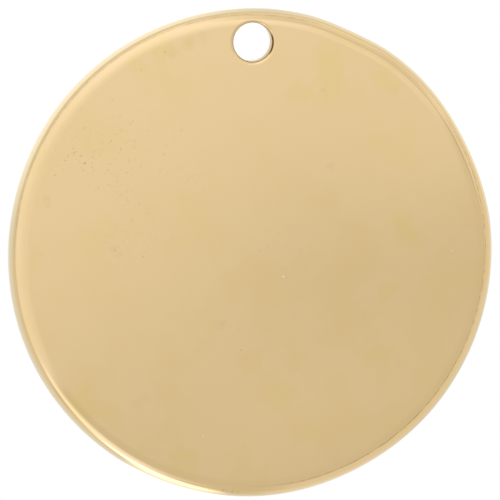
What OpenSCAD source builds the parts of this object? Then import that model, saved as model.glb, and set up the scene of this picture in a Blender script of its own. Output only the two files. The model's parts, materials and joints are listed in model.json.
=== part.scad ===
// Round pendant disc, punched from one piece of sheet metal, with a hole for a jump ring.
// Millimetres. The disc lies on its back face at z = 0, its front face up and its hole towards +Y.

/* [Disc] */
// Diameter of the disc
disc_d = 19; // [16:0.5:32]
// Thickness of the sheet that the disc is punched from
sheet_t = 1; // [0.9:0.05:1.6]

/* [Edge] */
// Radius of the soft roll that punching and tumbling leave round the front edge
front_roll = 0.62; // [0.2:0.01:0.65]
// Radius of the tumbled back edge
back_roll = 0.12; // [0.05:0.01:0.2]

/* [Hole] */
// Diameter of the hole's straight wall
hole_d = 1.5; // [1:0.05:1.8]
// Distance from the disc's outline to the centre of the hole
hole_inset = 1.28; // [1.2:0.01:2.5]
// Radius of the hole's front rim
hole_front_roll = 0.14; // [0.05:0.01:0.2]
// Radius of the hole's back rim
hole_back_roll = 0.06; // [0.03:0.01:0.1]

/* [Hidden] */

// Radius of the disc
disc_r = disc_d / 2;
// Radius of the hole's straight wall
hole_r = hole_d / 2;
// Distance from the centre of the disc to the centre of the hole
hole_y = disc_r - hole_inset;
// How far a cut runs past the surface that it cuts
past = 0.1;
// Segments in a full circle
$fn = 180;

// What a rounding of radius r takes off a corner that points to +X and +Y, from the rounding's centre
module corner_waste(r) {
    difference() {
        square(r + past);
        circle(r);
    }
}

// Half of the disc's cross-section, from its axis outwards
module disc_section() {
    difference() {
        square([disc_r, sheet_t]);
        translate([disc_r - front_roll, sheet_t - front_roll]) corner_waste(front_roll);
        translate([disc_r - back_roll, back_roll]) mirror([0, 1]) corner_waste(back_roll);
    }
}

// Half of the cross-section of what punching and tumbling take out, from the hole's axis outwards
module hole_section() {
    translate([0, -past]) square([hole_r, sheet_t + 2 * past]);
    translate([hole_r + hole_front_roll, sheet_t - hole_front_roll])
        mirror([1, 0]) corner_waste(hole_front_roll);
    translate([hole_r + hole_back_roll, hole_back_roll])
        rotate(180) corner_waste(hole_back_roll);
}

// The whole pendant, one solid
module disc() {
    color("#DDBF8C")
        difference() {
            rotate_extrude() disc_section();
            translate([0, hole_y, 0]) rotate_extrude() hole_section();
        }
}

disc();
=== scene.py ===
"""A plain round pendant disc of polished gold-tone metal, lying on a light table under a soft tent."""

import json
import logging
import math
from dataclasses import dataclass
from enum import Enum

import bpy
from mathutils import Matrix, Vector


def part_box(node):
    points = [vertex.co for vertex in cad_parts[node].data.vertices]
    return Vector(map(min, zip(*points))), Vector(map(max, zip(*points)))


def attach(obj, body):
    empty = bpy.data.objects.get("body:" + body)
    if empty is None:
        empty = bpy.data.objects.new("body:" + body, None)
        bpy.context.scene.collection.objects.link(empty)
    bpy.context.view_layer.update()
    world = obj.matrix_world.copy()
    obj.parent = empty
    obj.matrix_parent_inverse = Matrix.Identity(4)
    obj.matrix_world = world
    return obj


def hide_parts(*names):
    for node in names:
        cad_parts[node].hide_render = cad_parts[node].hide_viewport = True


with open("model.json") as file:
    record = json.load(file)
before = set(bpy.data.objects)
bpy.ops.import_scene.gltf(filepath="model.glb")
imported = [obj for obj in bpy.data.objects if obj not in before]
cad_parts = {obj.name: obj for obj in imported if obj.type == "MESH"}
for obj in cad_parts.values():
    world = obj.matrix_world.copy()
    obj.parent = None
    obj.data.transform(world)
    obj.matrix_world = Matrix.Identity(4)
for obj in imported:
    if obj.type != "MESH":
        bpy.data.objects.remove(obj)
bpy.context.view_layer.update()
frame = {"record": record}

MM = 0.001
MICROMETRE = 0.001 * MM

log = logging.getLogger("disc_pendant")

Socket = bpy.types.NodeSocket
Tint = tuple[float, float, float, float]


def deselect_all() -> None:
    """Deselects every object, so that an operator acts on nothing but the new piece."""
    bpy.ops.object.select_all(action="DESELECT")


def bearing(azimuth_deg: float, zenith_deg: float = 90.0) -> Vector:
    """Turns a bearing into a unit vector.

    Args:
        azimuth_deg: Degrees anticlockwise from +X, seen from above.
        zenith_deg: Degrees down from straight up.

    Returns:
        The unit vector.
    """
    azimuth = math.radians(azimuth_deg)
    zenith = math.radians(zenith_deg)
    flat = math.sin(zenith)
    return Vector((flat * math.cos(azimuth), flat * math.sin(azimuth), math.cos(zenith)))


@dataclass(frozen=True)
class Grain:
    """The grain of a random pattern.

    The scale is how many swells there are to one unit of the place, the detail is the number of
    finer layers, and the roughness is their strength.
    """

    scale: float
    detail: float = 2.0
    roughness: float = 0.5


class Desk:
    """Lays nodes into one node tree and wires them, so that a finish reads as a chain of steps."""

    def __init__(self, tree: bpy.types.NodeTree) -> None:
        """Clears the tree.

        Args:
            tree: The node tree to fill.
        """
        self.tree = tree
        tree.nodes.clear()

    def add(self, kind: str, **settings: object) -> bpy.types.Node:
        """Adds a node.

        Args:
            kind: Blender's type name of the node.
            **settings: Properties of the node to set.

        Returns:
            The node.
        """
        node = self.tree.nodes.new(kind)
        for name, value in settings.items():
            setattr(node, name, value)
        return node

    def feed(self, socket: Socket, value: object) -> None:
        """Wires a socket to another socket, or sets it to a constant.

        Args:
            socket: The input to feed.
            value: Socket or constant.
        """
        if isinstance(value, Socket):
            self.tree.links.new(value, socket)
        else:
            socket.default_value = value

    def number(self, operation: str, *values: object) -> Socket:
        """Does one step of arithmetic.

        Args:
            operation: Blender's name of the operation, such as ADD.
            *values: Numbers or sockets.

        Returns:
            The result's socket.
        """
        node = self.add("ShaderNodeMath", operation=operation)
        for socket, value in zip(node.inputs, values):
            self.feed(socket, value)
        return node.outputs[0]

    def vector(self, operation: str, *values: object) -> bpy.types.Node:
        """Does one step of vector arithmetic.

        Args:
            operation: Blender's name of the operation, such as DISTANCE.
            *values: Vectors or sockets.

        Returns:
            The node, whose outputs are Vector and Value.
        """
        node = self.add("ShaderNodeVectorMath", operation=operation)
        for socket, value in zip(node.inputs, values):
            self.feed(socket, value)
        return node

    def scaled(self, vector: object, factor: float) -> Socket:
        """Multiplies a vector by a number.

        Args:
            vector: Vector or socket.
            factor: The number.

        Returns:
            The longer or shorter vector's socket.
        """
        node = self.vector("SCALE", vector)
        self.feed(node.inputs["Scale"], factor)
        return node.outputs["Vector"]

    def ease(self, value: object, start: float, end: float, low: float = 0.0, high: float = 1.0) -> Socket:
        """Maps a value smoothly from low at start to high at end, and holds it outside that stretch.

        Args:
            value: Number or socket.
            start: Input at which the output is low.
            end: Input at which the output is high, on either side of start.
            low: Output at start.
            high: Output at end.

        Returns:
            The result's socket.
        """
        if end < start:
            start, end, low, high = end, start, high, low
        node = self.add("ShaderNodeMapRange", interpolation_type="SMOOTHSTEP")
        numbers = {"Value": value, "From Min": start, "From Max": end, "To Min": low, "To Max": high}
        for name, number in numbers.items():
            self.feed(node.inputs[name], number)
        return node.outputs[0]

    def total(self, values: list[Socket]) -> Socket:
        """Adds up a list of sockets.

        Args:
            values: The sockets, at least one.

        Returns:
            The sum's socket.
        """
        running = values[0]
        for value in values[1:]:
            running = self.number("ADD", running, value)
        return running

    def blend(self, factor: object, first: object, second: object) -> Socket:
        """Mixes two colours.

        Args:
            factor: Share of the second colour.
            first: Colour or socket.
            second: Colour or socket.

        Returns:
            The mixed colour's socket.
        """
        node = self.add("ShaderNodeMix", data_type="RGBA")
        ends = [socket for socket in node.inputs if socket.type == "RGBA"]
        self.feed(node.inputs[0], factor)
        self.feed(ends[0], first)
        self.feed(ends[1], second)
        return next(socket for socket in node.outputs if socket.type == "RGBA")

    def noise(self, place: object, grain: Grain) -> bpy.types.Node:
        """Lays a random pattern.

        Args:
            place: Socket of the place to look up.
            grain: The pattern's grain.

        Returns:
            The node, whose output Fac goes from 0 to 1, as do the three channels of its output Color.
        """
        node = self.add("ShaderNodeTexNoise")
        settings = {"Vector": place, "Scale": grain.scale, "Detail": grain.detail,
                    "Roughness": grain.roughness}
        for name, value in settings.items():
            self.feed(node.inputs[name], value)
        return node

    def strayed(self, place: object, grain: Grain, reach: float) -> Socket:
        """Moves a place about at random, so that what is laid there has a ragged outline.

        Args:
            place: Socket of the place.
            grain: The grain of the straying.
            reach: How far the places stray, from one end to the other.

        Returns:
            The strayed place's socket.
        """
        pattern = self.noise(place, grain).outputs["Color"]
        stray = self.vector("SUBTRACT", pattern, (0.5, 0.5, 0.5)).outputs["Vector"]
        return self.vector("ADD", place, self.scaled(stray, reach)).outputs["Vector"]


class Trace(Enum):
    """Kinds of marks that plating and handling have left on the front; the pits' dark colour is painted
    shade and the specks' pale colour painted glints.
    """

    PIT = "pit"
    SPECK = "speck"
    TARNISH = "tarnish"
    SMUDGE = "smudge"


@dataclass(frozen=True)
class Mark:
    """One mark on the front face.

    Lengths are in millimetres from the disc's centre. The core is the share of the radius at full
    strength.
    """

    kind: Trace
    x: float
    y: float
    radius: float
    strength: float = 1.0
    core: float = 0.2

    def mask(self, desk: Desk, place: Socket) -> Socket:
        """Lays the mark.

        Args:
            desk: The material's desk.
            place: Socket of the place in millimetres.

        Returns:
            The mask's socket, 0 beyond the mark.
        """
        away = desk.vector("DISTANCE", place, (self.x, self.y, 0)).outputs["Value"]
        return desk.ease(away, self.radius, self.radius * self.core, 0, self.strength)


@dataclass(frozen=True)
class PittedPatch:
    """A round patch of the front with fine pits in the plating.

    Lengths are in millimetres from the disc's centre.
    """

    x: float
    y: float
    core: float
    fade: float
    strength: float

    def mask(self, desk: Desk, place: Socket) -> Socket:
        """Lays the patch.

        Args:
            desk: The material's desk.
            place: Socket of the place in millimetres.

        Returns:
            The mask's socket, 0 beyond the patch.
        """
        away = desk.vector("DISTANCE", place, (self.x, self.y, 0)).outputs["Value"]
        return desk.ease(away, self.fade, self.core, 0, self.strength)


@dataclass(frozen=True)
class Survey:
    """Sockets that tell where on the disc a point of the finish lies.

    Lengths are in millimetres. The height is over the back face, the inset is the distance in from
    the outline, the ways are level unit vectors from the disc's and the hole's axis, and the last
    two are the level place moved about at random.
    """

    flat: Socket
    height: Socket
    inset: Socket
    way: Socket
    hole_reach: Socket
    hole_way: Socket
    strayed: Socket
    strayed_a_little: Socket


@dataclass(frozen=True)
class Traces:
    """Sockets of the masks of what punching, plating and handling have left on the metal, and of the
    painted light and shade.
    """

    tarnish: Socket
    smudges: Socket
    pitted: Socket
    dots: Socket
    specks: Socket
    crease_shade_line: Socket
    sheared_and_reflection: Socket
    bored: Socket


@dataclass(frozen=True)
class DarkLine:
    """A fine broken dark line that follows the disc's edge on one side: painted shade, standing in for a
    dark band of the tent that the rolled edge reflects.

    Lengths are in millimetres and the two azimuths in degrees. The line leans and wavers about its
    place, which is an inset or a height. The core is the share of its width at full strength. The
    gaps are where a random pattern is low, and the sides are cosines from the azimuth of the
    line's middle.
    """

    place: float
    width: float
    core: float
    lean: float
    lean_towards: float
    waver: float
    waver_grain: Grain
    gap_grain: Grain
    gaps: tuple[float, float]
    gap_strength: float
    middle: float
    sides: tuple[float, float]
    strength: float

    def mask(self, desk: Desk, survey: Survey, measure: Socket) -> Socket:
        """Lays the line.

        Args:
            desk: The material's desk.
            survey: Where on the disc the point lies.
            measure: Socket of the inset or the height that the line's place is given in.

        Returns:
            The mask's socket, 0 off the line.
        """
        towards = desk.vector("DOT_PRODUCT", survey.way, bearing(self.lean_towards)).outputs["Value"]
        lean = desk.number("MULTIPLY", towards, self.lean)
        pattern = desk.noise(survey.flat, self.waver_grain).outputs["Fac"]
        waver = desk.number("MULTIPLY_ADD", pattern, self.waver, self.place - self.waver / 2)
        off = desk.number("ABSOLUTE", desk.number("SUBTRACT", measure, desk.number("ADD", waver, lean)))
        line = desk.ease(off, self.width, self.width * self.core)
        pattern = desk.noise(survey.flat, self.gap_grain).outputs["Fac"]
        broken = desk.ease(pattern, *self.gaps, self.gap_strength, 1.0)
        side = desk.vector("DOT_PRODUCT", survey.way, bearing(self.middle)).outputs["Value"]
        sector = desk.ease(side, *self.sides, 0, self.strength)
        return desk.number("MULTIPLY", desk.number("MULTIPLY", line, broken), sector)


@dataclass(frozen=True)
class GoldFinish:
    """Polished gold-tone metal, with faint tarnish, pits, smudges and duller cut edges, and with painted
    light and shade on its rims, pits, specks and bore.

    Lengths are in millimetres, heights of the bump in micrometres and angles in degrees. A pair is
    the stretch over which something comes in, from none to full: heights are over the back face,
    insets from the outline, reaches beyond the hole's radius, and the dark crescent's widths and
    sides off its middle. The clouds and the lots are stretches of a random number.

    The lower right line is painted shade, broken and dark, where the front rolls over. The upper left
    line is the same painted shade along the top of the cut wall.
    """

    disc_radius: float
    hole_y: float
    hole_radius: float
    name: str = "polished_gold_tone"
    tint: Tint = (0.93, 0.69, 0.37, 1.0)
    # Painted reflection: the outer rim and wall are tinted greyer and less golden, for their grazing
    # reflection.
    rim_reflection_tint: Tint = (0.73, 0.605, 0.385, 1.0)
    # Painted shade in the bore, dark brown up its wall, and painted reflection of the white table, near
    # white at its foot.
    bore_shade_tint: Tint = (0.54, 0.36, 0.12, 1.0)
    bore_foot_reflection_tint: Tint = (0.97, 0.95, 0.90, 1.0)
    tarnish_tint: Tint = (0.91, 0.68, 0.32, 1.0)
    smudge_tint: Tint = (0.86, 0.63, 0.335, 1.0)
    # Painted shade inside the pits, which are also real dents in the relief.
    pit_shade_tint: Tint = (0.40, 0.26, 0.12, 1.0)
    # Painted glints: pale specks, raised a little in the relief.
    speck_glint_tint: Tint = (1.0, 0.85, 0.60, 1.0)
    # Colour of the painted shade lines on the rolled edge and along the top of the cut wall.
    shade_line_tint: Tint = (0.56, 0.38, 0.18, 1.0)
    # Colour of the dark crescent painted on the hole's right rim.
    dark_crescent_tint: Tint = (0.13, 0.075, 0.02, 1.0)
    polish_roughness: float = 0.11
    edge_roughness: float = 0.16
    marks: tuple[Mark, ...] = (
        Mark(Trace.TARNISH, 2.97, 7.46, 0.85, 1.0),
        Mark(Trace.TARNISH, 3.00, 6.75, 0.80, 0.9),
        Mark(Trace.TARNISH, 1.85, 6.30, 0.75, 0.7),
        Mark(Trace.TARNISH, 5.38, 6.64, 0.75, 0.9),
        Mark(Trace.TARNISH, 5.93, 0.96, 0.80, 1.2),
        Mark(Trace.TARNISH, 6.28, 0.45, 0.60, 0.5),
        Mark(Trace.TARNISH, 5.30, -1.71, 0.65, 0.7),
        Mark(Trace.TARNISH, 4.91, -3.96, 0.65, 0.7),
        Mark(Trace.TARNISH, -0.12, -4.22, 0.60, 0.6),
        Mark(Trace.TARNISH, 1.65, -4.18, 0.60, 0.5),
        Mark(Trace.TARNISH, 1.18, -5.45, 0.65, 0.6),
        Mark(Trace.TARNISH, 1.85, -6.90, 0.70, 0.4),
        Mark(Trace.TARNISH, -6.60, -5.70, 0.85, 1.0),
        Mark(Trace.TARNISH, -5.62, -6.15, 0.70, 0.8),
        Mark(Trace.TARNISH, -2.68, -7.90, 0.75, 0.9),
        Mark(Trace.TARNISH, -8.57, 0.10, 0.60, 0.6),
        Mark(Trace.TARNISH, -3.46, 7.95, 0.50, 1.1),
        Mark(Trace.TARNISH, -4.60, 7.35, 0.60, 0.9),
        Mark(Trace.TARNISH, -2.48, 8.15, 0.45, 1.0),
        Mark(Trace.SMUDGE, -2.48, 8.23, 0.40, 0.35),
        Mark(Trace.SMUDGE, -1.95, 8.45, 0.36, 0.3),
        Mark(Trace.SMUDGE, -3.15, 7.88, 0.40, 0.3),
        Mark(Trace.SMUDGE, -8.06, 2.28, 0.22, 0.5),
        Mark(Trace.SMUDGE, -8.04, 1.98, 0.20, 0.5),
        Mark(Trace.SMUDGE, -5.51, 0.24, 0.24, 0.45),
        Mark(Trace.SMUDGE, -5.25, 0.05, 0.20, 0.35),
        Mark(Trace.SMUDGE, -4.56, -5.72, 0.32, 0.35),
        Mark(Trace.SMUDGE, -4.25, -5.50, 0.26, 0.3),
        Mark(Trace.SMUDGE, 4.32, -2.45, 0.24, 0.35),
        Mark(Trace.SMUDGE, 3.03, 3.36, 0.28, 0.35),
        Mark(Trace.SMUDGE, -1.29, -2.68, 0.30, 0.4),
        Mark(Trace.SMUDGE, 2.75, 6.37, 0.16, 0.6),
        Mark(Trace.PIT, -7.75, 3.16, 0.055, 0.8),
        Mark(Trace.PIT, -7.09, 3.99, 0.045, 0.7),
        Mark(Trace.PIT, -6.60, 3.61, 0.060, 0.6),
        Mark(Trace.PIT, -5.50, 6.04, 0.045, 0.6),
        Mark(Trace.PIT, -4.80, 5.11, 0.050, 0.7),
        Mark(Trace.PIT, -4.45, 2.02, 0.050, 0.5),
        Mark(Trace.PIT, -5.42, 0.22, 0.055, 0.9),
        Mark(Trace.PIT, -4.31, -0.04, 0.050, 0.7),
        Mark(Trace.PIT, -3.18, 0.62, 0.045, 0.6),
        Mark(Trace.PIT, -3.50, 3.94, 0.050, 0.7),
        Mark(Trace.PIT, -6.62, 3.33, 0.045, 0.7),
        Mark(Trace.PIT, -6.21, 3.35, 0.040, 0.7),
        Mark(Trace.PIT, -4.70, 5.22, 0.040, 0.7),
        Mark(Trace.PIT, -4.37, 7.19, 0.050, 0.6),
        # The next four dots, stronger than the rest, are painted shade: a dark dashed line on the bottom of
        # the roll, where the strip light's dark frame is reflected.
        Mark(Trace.PIT, -1.16, -9.21, 0.090, 1.8),
        Mark(Trace.PIT, -1.00, -9.24, 0.080, 1.8),
        Mark(Trace.PIT, -0.80, -9.27, 0.090, 2.0),
        Mark(Trace.PIT, -0.58, -9.29, 0.080, 1.6),
        Mark(Trace.PIT, -3.46, 7.88, 0.060, 0.8),
        Mark(Trace.PIT, -0.24, 0.27, 0.045, 0.6),
        Mark(Trace.PIT, 0.55, 0.26, 0.045, 0.5),
        Mark(Trace.PIT, 1.84, 0.12, 0.050, 0.6),
        Mark(Trace.PIT, 2.35, -0.66, 0.045, 0.5),
        Mark(Trace.PIT, -0.59, -2.96, 0.050, 0.8),
        Mark(Trace.PIT, -0.47, -3.74, 0.060, 0.9),
        Mark(Trace.PIT, -1.22, -2.68, 0.040, 0.5),
        Mark(Trace.SPECK, 1.18, -0.90, 0.070, 0.9),
        Mark(Trace.SPECK, -1.97, -7.05, 0.060, 0.5),
        Mark(Trace.SPECK, 7.82, -0.01, 0.070, 0.4),
        Mark(Trace.SPECK, -6.62, 3.80, 0.045, 0.4),
    )
    pitted: tuple[PittedPatch, ...] = (
        PittedPatch(-6.6, 4.1, 0.3, 2.2, 0.8),
        PittedPatch(-4.6, 3.6, 0.3, 4.6, 0.45),
        PittedPatch(-4.8, 0.2, 0.3, 2.4, 0.3),
        PittedPatch(0.1, 0.1, 0.3, 2.4, 0.45),
        PittedPatch(6.0, 2.4, 0.3, 2.6, 0.2),
    )
    mark_roughness: float = 0.06
    front_heights: tuple[float, float] = (0.70, 0.85)
    sheared_heights: tuple[float, float] = (0.74, 0.56)
    sheared_insets: tuple[float, float] = (0.5, 0.3)
    bored_reaches: tuple[float, float] = (0.06, 0.02)
    bored_heights: tuple[float, float] = (0.30, 0.50)
    stray_grain: Grain = Grain(1.4, 4.0)
    stray_reach: float = 1.6
    small_stray_grain: Grain = Grain(5.0, 4.0)
    small_stray_reach: float = 0.5
    cloud_grain: Grain = Grain(0.38, 3.0, 0.55)
    clouds: tuple[float, float] = (0.42, 0.70)
    cloud_strength: float = 0.55
    pit_spacing: float = 0.14
    pit_size: float = 0.10
    pit_size_spread: float = 0.25
    pit_core: float = 0.4
    pit_lots: tuple[float, float] = (0.60, 1.0)
    pit_depth: float = 0.9
    pit_shade_strength: float = 0.32
    ripple_grain: Grain = Grain(4.5, 2.0, 0.6)
    ripple_height: float = 0.20
    ripple_where_clean: float = 0.12
    ripple_where_pitted: float = 1.6
    swell_grain: Grain = Grain(0.9, 1.0)
    swell_height: float = 0.30
    # Painted shade: a broken dark line on the rolled edge at the lower right, for a dark seam of the tent
    # reflected there.
    crease_shade_line: DarkLine = DarkLine(
        place=0.37, width=0.045, core=0.2, lean=0.08, lean_towards=250,
        waver=0.06, waver_grain=Grain(2.2), gap_grain=Grain(3.5, 3.0, 0.65), gaps=(0.38, 0.60),
        gap_strength=0.15, middle=338, sides=(0.25, 0.75), strength=0.6)
    # Painted shade: a broken dark line along the top of the cut wall at the upper left, for the tent's dark
    # horizon reflected there.
    wall_top_shade_line: DarkLine = DarkLine(
        place=0.715, width=0.032, core=0.3, lean=0.05, lean_towards=60,
        waver=0.05, waver_grain=Grain(2.6), gap_grain=Grain(3.1, 3.0, 0.65), gaps=(0.36, 0.62),
        gap_strength=0.3, middle=126, sides=(0.45, 0.8), strength=0.5)
    dark_crescent_reach: float = 0.045
    dark_crescent_widths: tuple[float, float] = (0.04, 0.01)
    dark_crescent_middle: float = 354.0
    dark_crescent_sides: tuple[float, float] = (37.0, 14.0)
    dark_crescent_heights: tuple[float, float] = (0.6, 0.8)

    def material(self) -> bpy.types.Material:
        """Builds the node material.

        Returns:
            The material.
        """
        material = bpy.data.materials.new(self.name)
        material.use_nodes = True
        desk = Desk(material.node_tree)
        survey = self.surveyed(desk)
        traces = self.traced(desk, survey)
        bump = desk.add("ShaderNodeBump")
        desk.feed(bump.inputs["Strength"], 1.0)
        desk.feed(bump.inputs["Distance"], MICROMETRE)
        desk.feed(bump.inputs["Height"], self.relief(desk, survey, traces))
        shader = desk.add("ShaderNodeBsdfPrincipled")
        desk.feed(shader.inputs["Metallic"], 1.0)
        desk.feed(shader.inputs["Base Color"], self.colour(desk, survey, traces))
        desk.feed(shader.inputs["Roughness"], self.roughness(desk, traces))
        desk.feed(shader.inputs["Normal"], bump.outputs["Normal"])
        output = desk.add("ShaderNodeOutputMaterial")
        desk.feed(output.inputs["Surface"], shader.outputs["BSDF"])
        return material

    def surveyed(self, desk: Desk) -> Survey:
        """Lays the nodes that tell where on the disc a point lies.

        Args:
            desk: The material's desk.

        Returns:
            The survey.
        """
        place = desk.scaled(desk.add("ShaderNodeTexCoord").outputs["Object"], 1 / MM)
        parts = desk.add("ShaderNodeSeparateXYZ")
        desk.feed(parts.inputs[0], place)
        flat = desk.vector("MULTIPLY", place, (1, 1, 0)).outputs["Vector"]
        reach = desk.vector("LENGTH", flat).outputs["Value"]
        from_hole = desk.vector("SUBTRACT", flat, (0, self.hole_y, 0)).outputs["Vector"]
        return Survey(
            flat=flat,
            height=parts.outputs["Z"],
            inset=desk.number("SUBTRACT", self.disc_radius, reach),
            way=desk.vector("NORMALIZE", flat).outputs["Vector"],
            hole_reach=desk.vector("LENGTH", from_hole).outputs["Value"],
            hole_way=desk.vector("NORMALIZE", from_hole).outputs["Vector"],
            strayed=desk.strayed(flat, self.stray_grain, self.stray_reach),
            strayed_a_little=desk.strayed(flat, self.small_stray_grain, self.small_stray_reach),
        )

    def traced(self, desk: Desk, survey: Survey) -> Traces:
        """Lays the masks of what punching, plating and handling have left, and of the painted light and
        shade.

        Args:
            desk: The material's desk.
            survey: Where on the disc the point lies.

        Returns:
            The masks.
        """
        front = desk.ease(survey.height, *self.front_heights)
        pattern = desk.noise(survey.flat, self.cloud_grain).outputs["Fac"]
        cloud = desk.ease(pattern, *self.clouds, 0, self.cloud_strength)
        pitted = desk.total([patch.mask(desk, survey.strayed) for patch in self.pitted])
        pits = desk.number("MULTIPLY", self.fine_pits(desk, survey.strayed_a_little), pitted)
        dots = desk.number("ADD", pits, self.marked(desk, survey.flat, Trace.PIT))
        specks = self.marked(desk, survey.flat, Trace.SPECK)
        smudges = self.marked(desk, survey.strayed_a_little, Trace.SMUDGE)
        crease_shade_line = self.crease_shade_line.mask(desk, survey, survey.inset)
        low = desk.ease(survey.height, *self.sheared_heights)
        far_out = desk.ease(survey.inset, *self.sheared_insets)
        rim, wall = (self.hole_radius + reach for reach in self.bored_reaches)
        return Traces(
            tarnish=desk.number("ADD", self.marked(desk, survey.strayed, Trace.TARNISH), cloud),
            smudges=desk.number("MULTIPLY", smudges, front),
            pitted=pitted,
            dots=desk.number("MULTIPLY", dots, front),
            specks=desk.number("MULTIPLY", specks, front),
            crease_shade_line=desk.number("MULTIPLY", crease_shade_line, front),
            sheared_and_reflection=desk.number("MULTIPLY", low, far_out),
            bored=desk.ease(survey.hole_reach, rim, wall),
        )

    def marked(self, desk: Desk, place: Socket, kind: Trace) -> Socket:
        """Lays all marks of one kind.

        Args:
            desk: The material's desk.
            place: Socket of the place in millimetres.
            kind: Which marks to lay.

        Returns:
            The mask's socket, 0 on clean metal.
        """
        return desk.total([mark.mask(desk, place) for mark in self.marks if mark.kind is kind])

    def fine_pits(self, desk: Desk, place: Socket) -> Socket:
        """Strews fine pits at random, less than one to every other cell of the given spacing.

        Args:
            desk: The material's desk.
            place: Socket of the place in millimetres.

        Returns:
            The mask's socket, 1 in the middle of a pit.
        """
        cells = desk.add("ShaderNodeTexVoronoi", voronoi_dimensions="2D")
        desk.feed(cells.inputs["Vector"], place)
        desk.feed(cells.inputs["Scale"], 1 / self.pit_spacing)
        lot = desk.add("ShaderNodeSeparateColor")
        desk.feed(lot.inputs["Color"], cells.outputs["Color"])
        size = desk.number("MULTIPLY_ADD", lot.outputs["Green"], self.pit_size_spread, self.pit_size)
        out = desk.number("DIVIDE", cells.outputs["Distance"], size)
        drawn = desk.ease(lot.outputs["Red"], *self.pit_lots)
        return desk.number("MULTIPLY", desk.ease(out, 1.0, self.pit_core), drawn)

    def dark_crescent(self, desk: Desk, survey: Survey) -> Socket:
        """Lays the dark brown crescent painted on the rounding of the hole's right rim.

        Args:
            desk: The material's desk.
            survey: Where on the disc the point lies.

        Returns:
            The mask's socket.
        """
        out = desk.number("SUBTRACT", survey.hole_reach, self.hole_radius + self.dark_crescent_reach)
        band = desk.ease(desk.number("ABSOLUTE", out), *self.dark_crescent_widths)
        side = desk.vector("DOT_PRODUCT", survey.hole_way, bearing(self.dark_crescent_middle)).outputs["Value"]
        sides = (math.cos(math.radians(angle)) for angle in self.dark_crescent_sides)
        crescent = desk.number("MULTIPLY", band, desk.ease(side, *sides))
        return desk.number("MULTIPLY", crescent, desk.ease(survey.height, *self.dark_crescent_heights))

    def colour(self, desk: Desk, survey: Survey, traces: Traces) -> Socket:
        """Lays coat over coat on the clean metal; some coats are painted light and shade.

        Args:
            desk: The material's desk.
            survey: Where on the disc the point lies.
            traces: The masks.

        Returns:
            The colour's socket.
        """
        up_the_wall = desk.ease(survey.height, *self.bored_heights)
        coats = (
            (traces.tarnish, self.tarnish_tint),
            (traces.smudges, self.smudge_tint),
            # Pits: real dents, darkened with painted shade.
            (desk.number("MULTIPLY", traces.dots, self.pit_shade_strength), self.pit_shade_tint),
            # Specks: painted glints on small raised dots.
            (traces.specks, self.speck_glint_tint),
            # Painted shade line on the rolled edge at the lower right.
            (traces.crease_shade_line, self.shade_line_tint),
            # Painted reflection: a greyer tint on the outer rim and wall; their extra roughness is real.
            (traces.sheared_and_reflection, self.rim_reflection_tint),
            # Painted shade line along the top of the cut wall.
            (self.wall_top_shade_line.mask(desk, survey, survey.height), self.shade_line_tint),
            # Bore wall: painted shade at the top, painted reflection of the white table at the foot.
            (traces.bored, desk.blend(up_the_wall, self.bore_foot_reflection_tint, self.bore_shade_tint)),
            # A dark brown crescent painted on the hole's right rim.
            (self.dark_crescent(desk, survey), self.dark_crescent_tint),
        )
        colour = self.tint
        for mask, coat in coats:
            colour = desk.blend(mask, colour, coat)
        return colour

    def roughness(self, desk: Desk, traces: Traces) -> Socket:
        """Makes the cut edges, the bore and the marks duller than the polish.

        Args:
            desk: The material's desk.
            traces: The masks.

        Returns:
            The roughness's socket.
        """
        sheared_and_reflection = desk.number("MAXIMUM", traces.sheared_and_reflection, traces.bored)
        duller = self.edge_roughness - self.polish_roughness
        metal = desk.number("MULTIPLY_ADD", sheared_and_reflection, duller, self.polish_roughness)
        marks = desk.number("ADD", traces.smudges, traces.dots)
        return desk.number("MULTIPLY_ADD", marks, self.mark_roughness, metal)

    def relief(self, desk: Desk, survey: Survey, traces: Traces) -> Socket:
        """Lays the polish's ripple and swell, the pits and the specks.

        Args:
            desk: The material's desk.
            survey: Where on the disc the point lies.
            traces: The masks.

        Returns:
            The height's socket, in micrometres.
        """
        pattern = desk.noise(survey.flat, self.ripple_grain).outputs["Fac"]
        ripple = desk.number("MULTIPLY", pattern, self.ripple_height)
        share = desk.number("MULTIPLY_ADD", traces.pitted, self.ripple_where_pitted,
                            self.ripple_where_clean)
        pattern = desk.noise(survey.flat, self.swell_grain).outputs["Fac"]
        return desk.total([
            desk.number("MULTIPLY", ripple, share),
            desk.number("MULTIPLY", pattern, self.swell_height),
            desk.number("MULTIPLY", traces.dots, -self.pit_depth),
            desk.number("MULTIPLY", traces.specks, self.pit_depth),
        ])


@dataclass(frozen=True)
class WornSpot:
    """A stretch of the outline that tumbling has flattened a little.

    Angles are in degrees and the depth is in metres.
    """

    azimuth: float
    spread: float
    depth: float

    def bite(self, azimuth_deg: float) -> float:
        """Gives how far the outline has moved in.

        Args:
            azimuth_deg: Azimuth of the place on the outline.

        Returns:
            The distance, 0 beyond the spot.
        """
        off = abs((azimuth_deg - self.azimuth + 180) % 360 - 180)
        if off >= self.spread:
            return 0.0
        return self.depth * math.cos(math.pi / 2 * off / self.spread) ** 2


@dataclass(frozen=True)
class Swell:
    """A very shallow rise of the front face, or a hollow where the rise is below 0.

    Lengths are in metres.
    """

    x: float
    y: float
    spread: float
    rise: float

    def lift(self, x: float, y: float) -> float:
        """Gives the rise at a place.

        Args:
            x: Place across the disc.
            y: Place up the disc.

        Returns:
            The rise over the even face.
        """
        away = ((x - self.x) ** 2 + (y - self.y) ** 2) / self.spread ** 2
        return self.rise * math.exp(-away)


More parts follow.
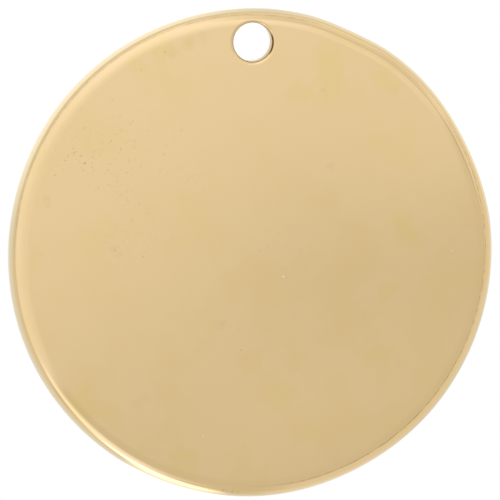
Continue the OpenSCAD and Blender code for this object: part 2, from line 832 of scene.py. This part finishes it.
@dataclass
class PendantDisc:
    """The pendant: one punched blank with tumbled edges and a hole for a jump ring.

    The lengths are in metres. Those without a value here come from the frame. The smaller a
    crowding is, the closer the rings lie at that end. The islands and their middles are shares of
    the bake map, and the spreads are shares of the sheet's thickness.
    """

    radius: float
    thickness: float
    hole_y: float
    hole_radius: float
    front_roll: float = 0.62 * MM
    back_roll: float = 0.12 * MM
    hole_front_roll: float = 0.14 * MM
    hole_back_roll: float = 0.06 * MM
    crown: float = 0.10 * MM
    segments: int = 320
    rings: int = 140
    crowding_at_edge: float = 0.0025
    crowding_at_hole: float = 0.00075
    wear_reach: float = 2.0 * MM
    wall_spread: float = 0.9
    hole_wall_spread: float = 0.5
    front_island: float = 0.36
    front_middle: tuple[float, float] = (0.37, 0.63)
    back_island: float = 0.19
    back_middle: tuple[float, float] = (0.80, 0.20)
    worn_spots: tuple[WornSpot, ...] = (
        WornSpot(26, 22, 0.060 * MM),
        WornSpot(65, 12, 0.055 * MM),
        WornSpot(172, 34, 0.022 * MM),
        WornSpot(296, 26, 0.030 * MM),
    )
    swells: tuple[Swell, ...] = (
        Swell(8.8 * MM, 1.6 * MM, 4.0 * MM, 0.042 * MM),
        Swell(5.0 * MM, -2.9 * MM, 4.3 * MM, -0.042 * MM),
        Swell(2.2 * MM, -9.0 * MM, 3.5 * MM, 0.036 * MM),
    )

    @classmethod
    def from_frame(cls) -> "PendantDisc":
        """Reads the sizes off the frame.

        Returns:
            The disc, not built yet.
        """
        low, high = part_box("disc")
        hole = next(mount for mount in frame["record"]["mounts"] if mount["name"] == "hole")
        return cls(
            radius=(high.x - low.x) / 2,
            thickness=high.z - low.z,
            hole_y=hole["pos_m"][1],
            hole_radius=hole["dims"]["r_mm"] * MM,
        )

    def build(self, finish: GoldFinish) -> bpy.types.Object:
        """Punches the blank, tumbles it and dresses it.

        Args:
            finish: The finish of the metal.

        Returns:
            The disc's object, at the origin.
        """
        piece = self.punch_blank()
        self.tumble(piece.data)
        self.unwrap(piece.data)
        piece.data.materials.append(finish.material())
        deselect_all()
        piece.select_set(True)
        bpy.context.view_layer.objects.active = piece
        bpy.ops.object.shade_smooth()
        return piece

    def punch_blank(self) -> bpy.types.Object:
        """Bridges the outline to the hole with rings, and extrudes the sheet to its thickness.

        Returns:
            The blank, with square edges and evenly spaced rings.
        """
        deselect_all()
        bpy.ops.mesh.primitive_circle_add(
            vertices=self.segments, radius=self.radius, location=(0, 0, self.thickness))
        piece = bpy.context.object
        piece.name = "pendant_disc"
        bpy.ops.object.transform_apply(location=True, rotation=True, scale=True)
        bpy.ops.object.mode_set(mode="EDIT")
        bpy.ops.mesh.primitive_circle_add(
            vertices=self.segments, radius=self.hole_radius,
            location=(0, self.hole_y, self.thickness))
        bpy.ops.mesh.select_mode(type="EDGE")
        bpy.ops.mesh.select_all(action="SELECT")
        bpy.ops.mesh.bridge_edge_loops(number_cuts=self.rings, interpolation="LINEAR")
        bpy.ops.mesh.select_all(action="SELECT")
        bpy.ops.mesh.extrude_region_move(TRANSFORM_OT_translate={"value": (0, 0, -self.thickness)})
        bpy.ops.mesh.select_all(action="SELECT")
        bpy.ops.mesh.normals_make_consistent(inside=False)
        bpy.ops.object.mode_set(mode="OBJECT")
        return piece

    def ring_share(self, x: float, y: float) -> float:
        """Finds the ring that a place of the blank lies on.

        Args:
            x: Place across the disc.
            y: Place up the disc.

        Returns:
            How far that ring is on its way from the outline, at 0, to the hole, at 1.
        """
        shrink = self.radius - self.hole_radius
        a = self.hole_y ** 2 - shrink ** 2
        b = 2 * (self.radius * shrink - self.hole_y * y)
        c = x * x + y * y - self.radius ** 2
        share = (-b + math.sqrt(max(b * b - 4 * a * c, 0.0))) / (2 * a)
        return min(max(share, 0.0), 1.0)

    def crowded(self, share: float) -> float:
        """Draws evenly spaced rings together at the outline and at the hole, where the rolls need them.

        Args:
            share: How far the ring was on its way from the outline to the hole.

        Returns:
            How far it is then.
        """
        low = math.log(self.crowding_at_edge)
        high = -math.log(self.crowding_at_hole)
        steps = (low, low + (high - low) * share, high)
        start, here, end = (1 / (1 + math.exp(-step)) for step in steps)
        return (here - start) / (end - start)

    @staticmethod
    def sunk(inset: float, roll: float) -> float:
        """Gives how far a rolled edge has sunk below its face.

        Args:
            inset: Distance in from the edge.
            roll: Radius of the roll.

        Returns:
            The depth under the face.
        """
        if inset >= roll:
            return 0.0
        run = roll - max(inset, 0.0)
        return roll - math.sqrt(max(roll * roll - run * run, 0.0))

    def front_height(self, x: float, y: float, from_edge: float) -> float:
        """Gives the height of the front face.

        Args:
            x: Place across the disc.
            y: Place up the disc.
            from_edge: Distance in from the outline.

        Returns:
            The height over the back.
        """
        from_hole = math.hypot(x, y - self.hole_y) - self.hole_radius
        bow = self.crown * (x * x + y * y) / self.radius ** 2
        rolls = self.sunk(from_edge, self.front_roll) + self.sunk(from_hole, self.hole_front_roll)
        lift = sum(swell.lift(x, y) for swell in self.swells)
        return self.thickness - bow - rolls + lift

    def back_height(self, x: float, y: float, from_edge: float) -> float:
        """Gives the height of the back face.

        Args:
            x: Place across the disc.
            y: Place up the disc.
            from_edge: Distance in from the outline.

        Returns:
            The height over the surface that the disc lies on.
        """
        from_hole = math.hypot(x, y - self.hole_y) - self.hole_radius
        return self.sunk(from_edge, self.back_roll) + self.sunk(from_hole, self.hole_back_roll)

    def tumble(self, mesh: bpy.types.Mesh) -> None:
        """Rolls the edges over and bows the front.

        The two front rolls run into each other between the hole and the outline, which no bevel
        does, so each vertex is put at its height by formula.

        Args:
            mesh: The blank's mesh.
        """
        for vertex in mesh.vertices:
            x, y, z = vertex.co
            share = self.ring_share(x, y)
            angle = math.atan2(y - self.hole_y * share, x)
            share = self.crowded(share)
            ring = self.radius - (self.radius - self.hole_radius) * share
            x, y = ring * math.cos(angle), ring * math.sin(angle) + self.hole_y * share
            reach = math.hypot(x, y)
            azimuth = math.degrees(math.atan2(y, x))
            bite = sum(spot.bite(azimuth) for spot in self.worn_spots)
            from_edge = self.radius - reach
            pull = bite * max(1 - from_edge / self.wear_reach, 0.0) ** 2
            x, y = x * (1 - pull / reach), y * (1 - pull / reach)
            from_edge += pull - bite
            height = self.front_height if z > self.thickness / 2 else self.back_height
            vertex.co = (x, y, height(x, y, from_edge))
        mesh.update()

    def unwrap(self, mesh: bpy.types.Mesh) -> None:
        """Lays out the bake map: the front with its walls, and the back.

        The walls would lie on their own edge seen from above, so the front's island spreads them:
        a place goes outwards by how far it has sunk at the outline, and inwards at the hole.

        Args:
            mesh: The tumbled mesh.
        """
        spread = self.thickness * self.wall_spread
        scale = self.front_island / (self.radius + spread)
        places = []
        for vertex in mesh.vertices:
            x, y, z = vertex.co
            reach = math.hypot(x, y)
            from_hole = math.hypot(x, y - self.hole_y)
            sunk = (self.thickness - z) / self.thickness * spread
            if from_hole - self.hole_radius < self.radius - reach:
                step = -sunk * self.hole_wall_spread / max(from_hole, self.hole_radius / 2)
                x, y = x * (1 + step), y + (y - self.hole_y) * step
            else:
                step = sunk / reach
                x, y = x * (1 + step), y * (1 + step)
            places.append((x, y))
        layer = mesh.uv_layers.new(name="OFBake")
        corners = []
        for polygon in mesh.polygons:
            back = all(mesh.vertices[index].co.z < self.thickness / 4 for index in polygon.vertices)
            for index in polygon.vertices:
                x, y, _ = mesh.vertices[index].co
                if back:
                    share = self.back_island / self.radius
                    corners += (self.back_middle[0] - x * share, self.back_middle[1] + y * share)
                else:
                    x, y = places[index]
                    corners += (self.front_middle[0] + x * scale, self.front_middle[1] + y * scale)
        layer.data.foreach_set("uv", corners)


@dataclass(frozen=True)
class Glow:
    """A soft patch of light or shade.

    Angles are in degrees. The light is added, so a dark patch has a strength below 0.
    """

    name: str
    azimuth: float
    zenith: float
    core: float
    fade: float
    strength: float

    def light(self, desk: Desk, way: Socket) -> Socket:
        """Lays the nodes that give the patch's light.

        Args:
            desk: The tree's desk.
            way: Socket of the unit vector that is looked along.

        Returns:
            The light's socket.
        """
        near = desk.vector("DOT_PRODUCT", way, bearing(self.azimuth, self.zenith)).outputs["Value"]
        core, rim = math.cos(math.radians(self.core)), math.cos(math.radians(self.fade))
        return desk.ease(near, rim, core, 0, self.strength)


@dataclass(frozen=True)
class Band:
    """A level strip of light or shade round part of the tent, between two zenith angles.

    Angles are in degrees. The light is added, so a dark band has a strength below 0.
    """

    name: str
    azimuth: float
    spread: float
    fade: float
    top: float
    bottom: float
    softness: float
    strength: float

    def light(self, desk: Desk, level: Socket, fall: Socket) -> Socket:
        """Lays the nodes that give the band's light.

        Args:
            desk: The tree's desk.
            level: Socket of the level unit vector that is looked along.
            fall: Socket of the zenith angle that is looked along, in degrees.

        Returns:
            The light's socket.
        """
        near = desk.vector("DOT_PRODUCT", level, bearing(self.azimuth)).outputs["Value"]
        core = math.cos(math.radians(self.spread))
        rim = math.cos(math.radians(self.spread + self.fade))
        sector = desk.ease(near, rim, core, 0, self.strength)
        under = desk.ease(fall, self.top - self.softness, self.top + self.softness)
        above = desk.ease(fall, self.bottom + self.softness, self.bottom - self.softness)
        return desk.number("MULTIPLY", sector, desk.number("MULTIPLY", under, above))


@dataclass(frozen=True)
class Bar:
    """A straight bar of light or shade that runs across the tent from one bearing to another.

    Bearings are an azimuth and a zenith angle, and angles are in degrees.
    """

    name: str
    start: tuple[float, float]
    end: tuple[float, float]
    half_width: float
    softness: float
    strength: float

    def light(self, desk: Desk, way: Socket) -> Socket:
        """Lays the nodes that give the bar's light.

        Args:
            desk: The tree's desk.
            way: Socket of the unit vector that is looked along.

        Returns:
            The light's socket.
        """
        start, end = bearing(*self.start), bearing(*self.end)
        across = start.cross(end).normalized()
        middle = (start + end).normalized()
        reach = math.degrees(middle.angle(start))
        side = desk.number("ABSOLUTE", desk.vector("DOT_PRODUCT", way, across).outputs["Value"])
        core = math.sin(math.radians(max(self.half_width - self.softness / 2, 0)))
        rim = math.sin(math.radians(self.half_width + self.softness / 2))
        near = desk.vector("DOT_PRODUCT", way, middle).outputs["Value"]
        ends = desk.ease(near, math.cos(math.radians(reach + self.softness)),
                         math.cos(math.radians(reach - self.softness)), 0, self.strength)
        return desk.number("MULTIPLY", desk.ease(side, rim, core), ends)


@dataclass(frozen=True)
class SoftTent:
    """The tent of white cloth round the light table, with soft patches of light and shade.

    The cloth's turn from dim to bright, and its glow beyond that, are cosines from the azimuth of
    the bright side. The last two stretches are strengths of light.
    """

    bright_side: float = 123.0
    dim: float = 0.68
    bright: float = 0.872
    turn: tuple[float, float] = (-0.212, -0.106)
    glow: float = 0.05
    glow_stretch: tuple[float, float] = (0.1, 0.9)
    warm: Tint = (1.0, 0.985, 0.95, 1.0)
    cool: Tint = (1.0, 1.02, 1.09, 1.0)
    cool_stretch: tuple[float, float] = (0.6, 1.1)
    lamp: Tint = (0.98, 1.06, 1.38, 1.0)
    lamp_stretch: tuple[float, float] = (0.98, 1.4)
    glows: tuple[Glow, ...] = (
        Glow("top panel", 72, 64, 17, 72, 0.18),
        Glow("left panel", 176, 88, 25, 83, 0.06),
        Glow("strip light's halo", 243, 69, 1, 29, 0.38),
        Glow("seam at the right", 51, 61, 1, 36, -0.21),
        Glow("seam overhead", 32, 29, 1, 14, -0.10),
    )
    bars: tuple[Bar, ...] = (
        Bar("strip light", (264, 96), (249, 87), 10, 12, 1.20),
        Bar("strip light's tail", (250, 76), (224, 68), 5, 8, 0.16),
        Bar("strip light's near frame", (267, 75), (257, 60), 2.5, 3, -0.16),
    )
    bands: tuple[Band, ...] = (
        Band("seam round the lower right", 344, 48, 12, 51, 55, 2, -0.07),
        Band("lower right cloth", 338, 46, 12, 58, 105, 3, 0.11),
        Band("seam across the upper right", 46, 33, 12, 43, 57, 5, -0.10),
        Band("shade at the upper right", 36, 6, 14, 60, 95, 8, -0.06),
        Band("gap at the top", 80, 6, 15, 60, 101, 10, -0.15),
        Band("gap at the left", 203, 26, 10, 76, 98, 7, -0.20),
        Band("gap at the upper left", 126, 42, 10, 80, 96, 6, -0.09),
    )

    def hang(self) -> None:
        """Builds the world's nodes."""
        world = bpy.data.worlds.new("soft_tent")
        world.use_nodes = True
        bpy.context.scene.world = world
        desk = Desk(world.node_tree)
        way = desk.add("ShaderNodeTexCoord").outputs["Generated"]
        flat = desk.vector("MULTIPLY", way, (1, 1, 0)).outputs["Vector"]
        level = desk.vector("NORMALIZE", flat).outputs["Vector"]
        rise = desk.vector("DOT_PRODUCT", way, (0, 0, 1)).outputs["Value"]
        fall = desk.number("MULTIPLY", desk.number("ARCCOSINE", rise), 180 / math.pi)
        lean = desk.vector("DOT_PRODUCT", way, bearing(self.bright_side)).outputs["Value"]
        parts = [desk.ease(lean, *self.turn, self.dim, self.bright)]
        parts += [desk.ease(lean, *self.glow_stretch, 0, self.glow)]
        parts += [patch.light(desk, way) for patch in (*self.glows, *self.bars)]
        parts += [band.light(desk, level, fall) for band in self.bands]
        light = desk.total(parts)
        colour = desk.blend(desk.ease(light, *self.cool_stretch), self.warm, self.cool)
        colour = desk.blend(desk.ease(light, *self.lamp_stretch), colour, self.lamp)
        background = desk.add("ShaderNodeBackground")
        desk.feed(background.inputs["Color"], colour)
        desk.feed(background.inputs["Strength"], light)
        output = desk.add("ShaderNodeOutputWorld")
        desk.feed(output.inputs["Surface"], background.outputs["Background"])


@dataclass(frozen=True)
class LightTable:
    """The white lit table that the disc lies on, with a round card under the disc.

    Lengths are in metres. The near spots are on the card, but not where the disc covers it, and the
    far spots are on the table beyond it.
    """

    side: float = 0.6
    gap: float = 0.02 * MM
    glow: float = 1.0
    card_middle: tuple[float, float, float] = (-0.3 * MM, 0.3 * MM, 0)
    covered_radius: float = 8.9 * MM
    covered_fade: float = 0.4 * MM
    card_radius: float = 10.5 * MM
    card_fade: float = 1.3 * MM
    shade_beyond: float = -0.18
    near_spots: tuple[Glow, ...] = (
        Glow("upper left", 130, 90, 6, 48, 0.34),
        Glow("under the strip light", 252, 90, 3, 15, 0.32),
        Glow("by the strip light's stand", 268, 90, 4, 14, -0.06),
        Glow("upper right", 48, 90, 22, 42, 0.12),
        Glow("lower right", 328, 90, 8, 30, -0.08),
    )
    far_spots: tuple[Glow, ...] = (
        Glow("under the strip light", 253, 90, 4, 14, 1.2),
        Glow("the strip light's stand", 270, 90, 2, 6, -0.12),
    )

    def lay(self) -> bpy.types.Object:
        """Lays the table's top just under the disc.

        Returns:
            The table's object.
        """
        deselect_all()
        bpy.ops.mesh.primitive_plane_add(size=self.side, location=(0, 0, -self.gap))
        top = bpy.context.object
        top.name = "light_table"
        bpy.ops.object.transform_apply(location=True, rotation=True, scale=True)
        top.data.materials.append(self.material())
        return top

    def material(self) -> bpy.types.Material:
        """Builds the table's glow: plain white to look at, but uneven in what the metal reflects.

        Returns:
            The material.
        """
        material = bpy.data.materials.new("lit_table")
        material.use_nodes = True
        desk = Desk(material.node_tree)
        place = desk.add("ShaderNodeTexCoord").outputs["Object"]
        flat = desk.vector("MULTIPLY", place, (1, 1, 0)).outputs["Vector"]
        way = desk.vector("NORMALIZE", flat).outputs["Vector"]
        out = desk.vector("DISTANCE", flat, self.card_middle).outputs["Value"]
        bare = desk.ease(out, self.covered_radius, self.covered_radius + self.covered_fade)
        beyond = desk.ease(out, self.card_radius, self.card_radius + self.card_fade)
        near = desk.total([spot.light(desk, way) for spot in self.near_spots])
        near = desk.number("MULTIPLY", near, desk.number("SUBTRACT", 1, beyond))
        near = desk.number("MULTIPLY", near, bare)
        far = desk.total([spot.light(desk, way) for spot in self.far_spots])
        far = desk.number("ADD", self.shade_beyond, far)
        glow = desk.number("ADD", self.glow, desk.number("ADD", near, desk.number("MULTIPLY", far, beyond)))
        seen = desk.add("ShaderNodeLightPath").outputs["Is Camera Ray"]
        light = desk.add("ShaderNodeEmission")
        desk.feed(light.inputs["Strength"], desk.number("MAXIMUM", glow, seen))
        below = desk.add("ShaderNodeNewGeometry").outputs["Backfacing"]
        mix = desk.add("ShaderNodeMixShader")
        desk.feed(mix.inputs[0], below)
        desk.feed(mix.inputs[1], light.outputs["Emission"])
        desk.feed(mix.inputs[2], desk.add("ShaderNodeBsdfTransparent").outputs["BSDF"])
        output = desk.add("ShaderNodeOutputMaterial")
        desk.feed(output.inputs["Surface"], mix.outputs["Shader"])
        return material


@dataclass(frozen=True)
class ProductCamera:
    """A long lens almost straight above the disc, at the photograph's angle.

    Lengths are in metres but for the sensor's millimetres, and angles are in degrees. The camera
    sees what lies between two shares of its distance.
    """

    lean: float = 10.8
    lean_towards: float = 152.0
    roll: float = -0.05
    distance: float = 0.45
    frame_width: float = 19.395 * MM
    sensor: float = 36.0
    aim_x: float = 0.028 * MM
    aim_y: float = 0.078 * MM
    nearest: float = 0.1
    farthest: float = 4.0

    def place(self) -> bpy.types.Object:
        """Makes the scene's camera.

        Returns:
            The camera.
        """
        data = bpy.data.cameras.new("product_camera")
        camera = bpy.data.objects.new("product_camera", data)
        bpy.context.scene.collection.objects.link(camera)
        data.sensor_width = self.sensor
        data.lens = self.sensor * self.distance / self.frame_width
        data.clip_start = self.distance * self.nearest
        data.clip_end = self.distance * self.farthest
        back = bearing(self.lean_towards, self.lean)
        across = Vector((0, 1, 0)).cross(back).normalized()
        up = back.cross(across)
        turn = Matrix((across, up, back)).transposed()
        roll = Matrix.Rotation(math.radians(self.roll), 3, "Z")
        aim = Vector((self.aim_x, self.aim_y, 0))
        camera.matrix_world = Matrix.Translation(aim + back * self.distance) @ (turn @ roll).to_4x4()
        bpy.context.scene.camera = camera
        return camera


def main() -> None:
    """Builds the pendant, the light table, the tent and the camera."""
    logging.basicConfig(level=logging.INFO, format="%(name)s: %(message)s")
    pendant = PendantDisc.from_frame()
    finish = GoldFinish(pendant.radius / MM, pendant.hole_y / MM, pendant.hole_radius / MM)
    disc = pendant.build(finish)
    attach(disc, "root")
    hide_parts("disc")
    log.info("%s: %d faces", disc.name, len(disc.data.polygons))
    LightTable().lay()
    SoftTent().hang()
    ProductCamera().place()
    bpy.context.scene.view_settings.view_transform = "Standard"


if __name__ == "__main__":
    main()
